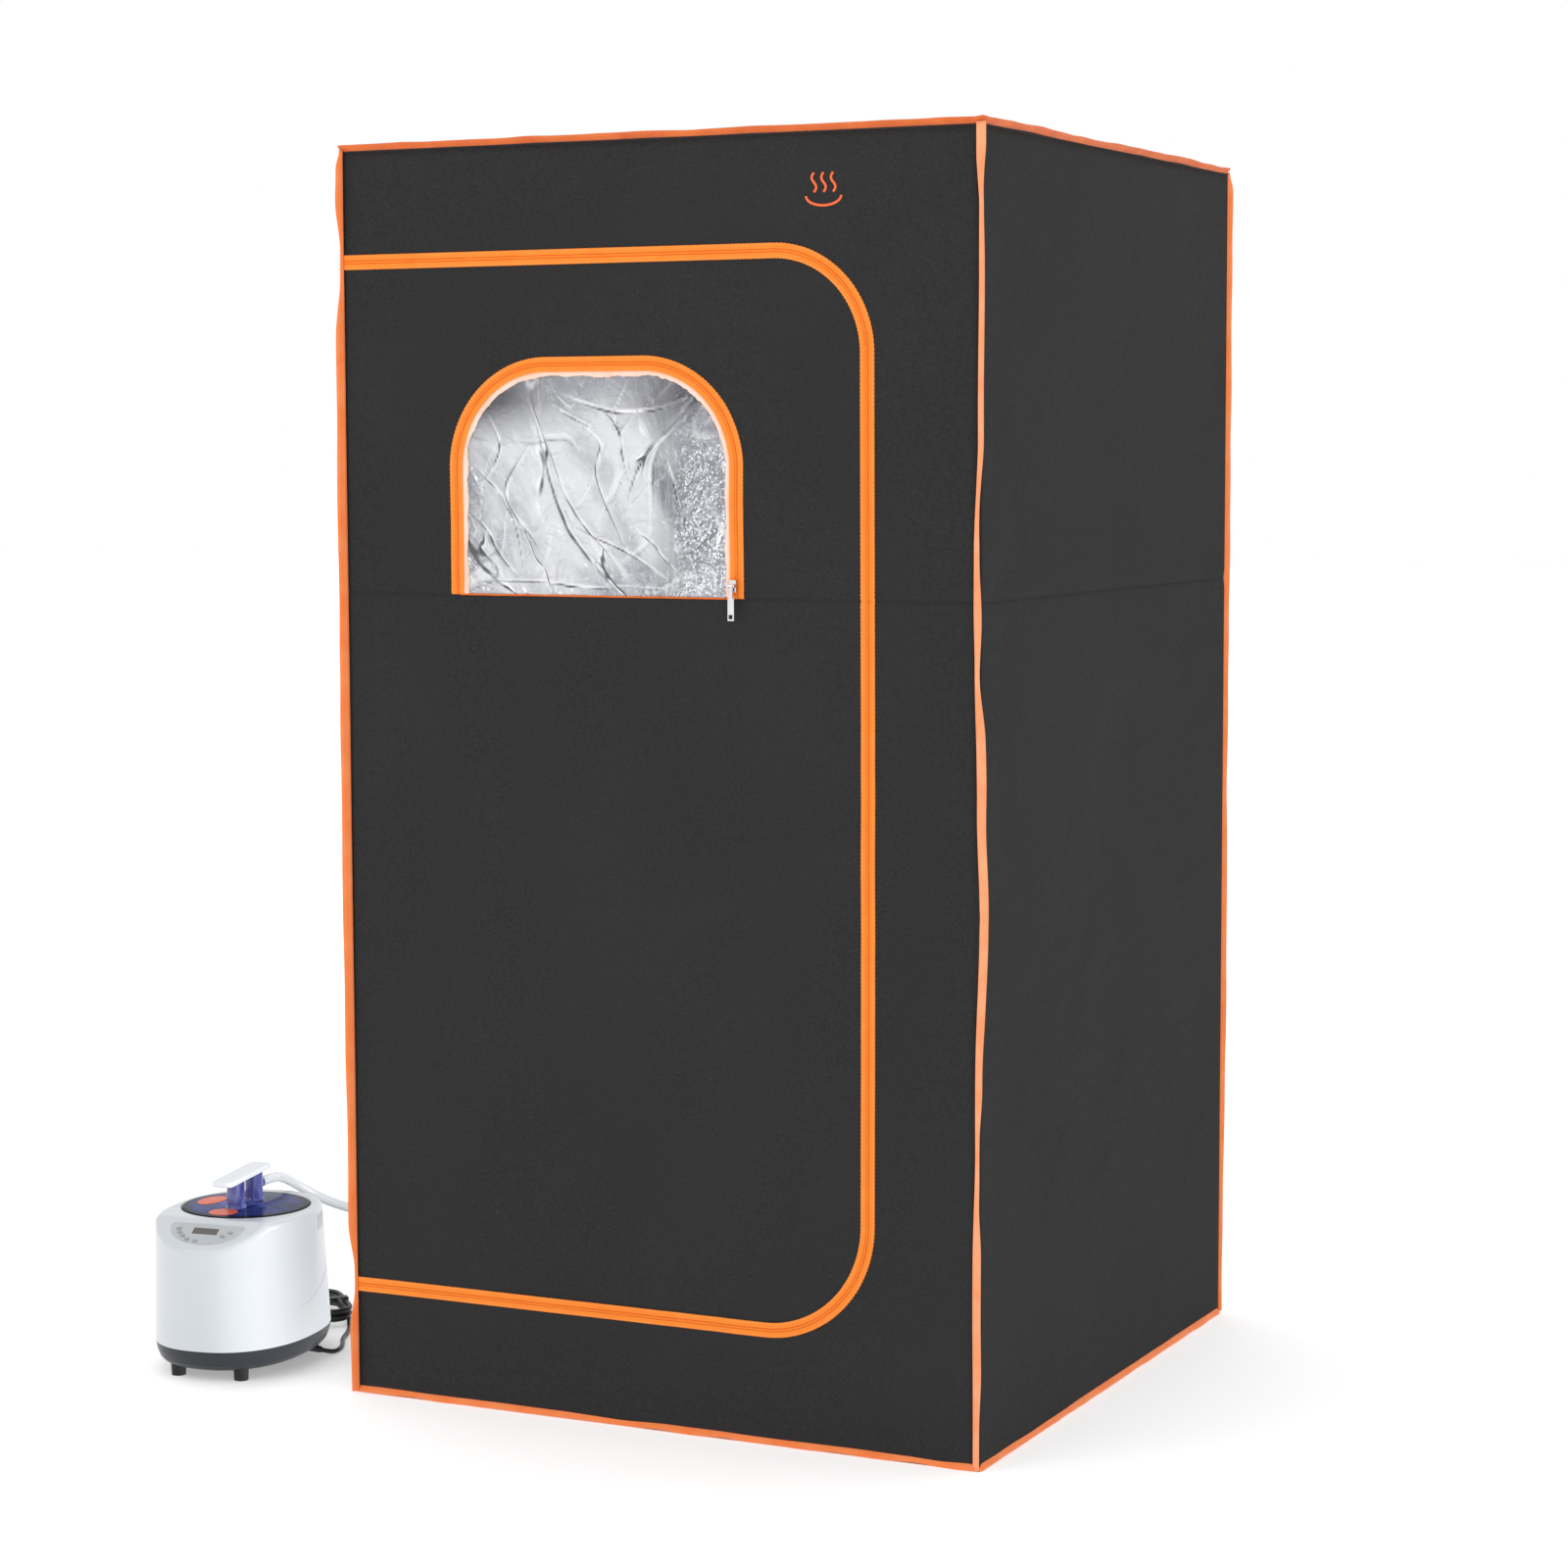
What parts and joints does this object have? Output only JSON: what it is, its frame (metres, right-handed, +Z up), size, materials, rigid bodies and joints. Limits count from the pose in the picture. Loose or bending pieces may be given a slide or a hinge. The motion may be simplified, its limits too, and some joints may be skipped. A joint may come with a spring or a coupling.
{
  "type": "portable steam sauna",
  "caption": "Fabric steam cabin on a tube frame with a zipped door and a clear zipped window, fed by a hose from a kettle-sized steam generator.",
  "frame": {"origin": "centre of the cabin's footprint, on the floor", "axes": "+Z up; the door faces -Y; the steam generator stands on the -X side"},
  "size_m": [1.195, 0.9064, 1.5364],
  "materials": {
    "cabin_cloth": "matte quilted oxford cloth, charcoal",
    "edge_binding": "orange polyester binding",
    "zip_tape": "woven zip tape, orange",
    "clear_film": "clear flexible vinyl, creased",
    "zip_metal": "bright nickel plate",
    "frame_tube": "white powder coat",
    "frame_joint": "black moulded nylon",
    "port_rubber": "black moulded rubber",
    "hose_vinyl": "translucent white vinyl",
    "herb_plastic": "white polypropylene",
    "casing_white": "gloss white moulding",
    "base_grey": "dark grey moulding",
    "foot_rubber": "black rubber",
    "pot_aluminium": "spun and satin",
    "heater_metal": "cast, with steel sheathed loop",
    "thermostat_body": "ceramic and phenolic",
    "circuit_board": "green solder mask",
    "panel_grey": "satin silver-grey film",
    "display_glass": "brown-grey liquid crystal window",
    "key_rubber": "grey silicone rubber",
    "lid_blue": "clear violet-blue polycarbonate",
    "seal_silicone": "translucent silicone",
    "handle_white": "gloss white moulding",
    "valve_weight": "turned brass weight",
    "screw_steel": "zinc plated",
    "cord_black": "black vinyl sheath",
    "tie_black": "hook and loop strap"
  },
  "bodies": {
    "root": {"floor_panel": "cabin_cloth", "roof_panel": "cabin_cloth", "right_panel": "cabin_cloth", "back_panel": "cabin_cloth", "left_panel": "cabin_cloth", "front_panel": "cabin_cloth", "upright_edge_bindings": "edge_binding", "roof_edge_bindings": "edge_binding", "floor_edge_bindings": "edge_binding", "door_zip_fixed_tape": "zip_tape", "bottom_rails": "frame_tube", "top_rails": "frame_tube", "lower_uprights": "frame_tube", "upper_uprights": "frame_tube", "bottom_corner_connectors": "frame_joint", "top_corner_connectors": "frame_joint", "upright_couplers": "frame_joint", "steam_port": "port_rubber", "steam_hose": "hose_vinyl", "herb_box": "herb_plastic", "steamer_casing": "casing_white", "steamer_base": "base_grey", "steamer_feet": "foot_rubber", "water_pot": "pot_aluminium", "heater_plate": "heater_metal", "thermostat": "thermostat_body", "main_board": "circuit_board", "control_board": "circuit_board", "control_panel": "panel_grey", "display_window": "display_glass", "base_screws": "screw_steel", "power_cord_lead": "cord_black", "power_cord_hank": "cord_black", "power_cord_tail": "cord_black", "power_plug": "cord_black", "cord_strain_relief": "cord_black", "cord_tie": "tie_black"},
    "door": {"door_panel": "cabin_cloth", "door_zip_moving_tape": "zip_tape", "window_zip_fixed_tape": "zip_tape"},
    "window_flap": {"window_film": "clear_film", "window_zip_moving_tape": "zip_tape"},
    "window_slider": {"window_zip_slider": "zip_metal"},
    "window_pull": {"window_zip_pull": "zip_metal"},
    "door_slider": {"door_zip_slider": "zip_metal"},
    "door_pull": {"door_zip_pull": "zip_metal"},
    "lid": {"lid_disc": "lid_blue", "lid_seal": "seal_silicone", "steam_outlet_column": "lid_blue", "valve_column": "lid_blue", "lid_handle": "handle_white"},
    "valve": {"relief_valve": "valve_weight"},
    "herb_cover": {"herb_box_cover": "herb_plastic"},
    "power_key": {"power_key": "key_rubber"},
    "heat_up_key": {"heat_up_key": "key_rubber"},
    "heat_down_key": {"heat_down_key": "key_rubber"},
    "timer_key": {"timer_key": "key_rubber"},
    "mode_key": {"mode_key": "key_rubber"},
    "start_key": {"start_key": "key_rubber"},
    "stop_key": {"stop_key": "key_rubber"}
  },
  "joints": [
    {"name": "door_hinge", "type": "hinge", "parent": "root", "child": "door", "pos_m": [-0.416, -0.42, 0.766], "axis": [0, 0, -1], "range_deg": [0, 120]},
    {"name": "window_flap_hinge", "type": "hinge", "parent": "door", "child": "window_flap", "pos_m": [-0.075, -0.416, 0.996], "axis": [-1, 0, 0], "range_deg": [0, 150]},
    {"name": "window_slider_run", "type": "slide", "parent": "door", "child": "window_slider", "axis": [0, 0, 1], "range_m": [0, 0.13]},
    {"name": "window_pull_swing", "type": "hinge", "parent": "window_slider", "child": "window_pull", "pos_m": [0.11, -0.4285, 1.0115], "axis": [-1, 0, 0], "range_deg": [0, 150]},
    {"name": "door_slider_run", "type": "slide", "parent": "root", "child": "door_slider", "axis": [1, 0, 0], "range_m": [0, 0.5]},
    {"name": "door_pull_swing", "type": "hinge", "parent": "door_slider", "child": "door_pull", "pos_m": [-0.36, -0.409, 0.1375], "axis": [1, 0, 0], "range_deg": [0, 150]},
    {"name": "lid_lift", "type": "slide", "parent": "root", "child": "lid", "axis": [0, 0, 1], "range_m": [0, 0.1], "deforming": ["steam_hose"]},
    {"name": "relief_valve_lift", "type": "slide", "parent": "lid", "child": "valve", "axis": [0, 0, 1], "range_m": [0, 0.004]},
    {"name": "herb_cover_lift", "type": "slide", "parent": "root", "child": "herb_cover", "axis": [0, 0, 1], "range_m": [0, 0.06]},
    {"name": "power_key_press", "type": "slide", "parent": "root", "child": "power_key", "axis": [-0.0666, 0.5273, -0.8471], "range_m": [0, 0.0008], "stiffness_N_per_m": 800},
    {"name": "heat_up_key_press", "type": "slide", "parent": "root", "child": "heat_up_key", "axis": [-0.0666, 0.5273, -0.8471], "range_m": [0, 0.0008], "stiffness_N_per_m": 800},
    {"name": "heat_down_key_press", "type": "slide", "parent": "root", "child": "heat_down_key", "axis": [-0.0666, 0.5273, -0.8471], "range_m": [0, 0.0008], "stiffness_N_per_m": 800},
    {"name": "timer_key_press", "type": "slide", "parent": "root", "child": "timer_key", "axis": [-0.0666, 0.5273, -0.8471], "range_m": [0, 0.0008], "stiffness_N_per_m": 800},
    {"name": "mode_key_press", "type": "slide", "parent": "root", "child": "mode_key", "axis": [-0.0666, 0.5273, -0.8471], "range_m": [0, 0.0008], "stiffness_N_per_m": 800},
    {"name": "start_key_press", "type": "slide", "parent": "root", "child": "start_key", "axis": [-0.0666, 0.5273, -0.8471], "range_m": [0, 0.0008], "stiffness_N_per_m": 800},
    {"name": "stop_key_press", "type": "slide", "parent": "root", "child": "stop_key", "axis": [-0.0666, 0.5273, -0.8471], "range_m": [0, 0.0008], "stiffness_N_per_m": 800}
  ]
}
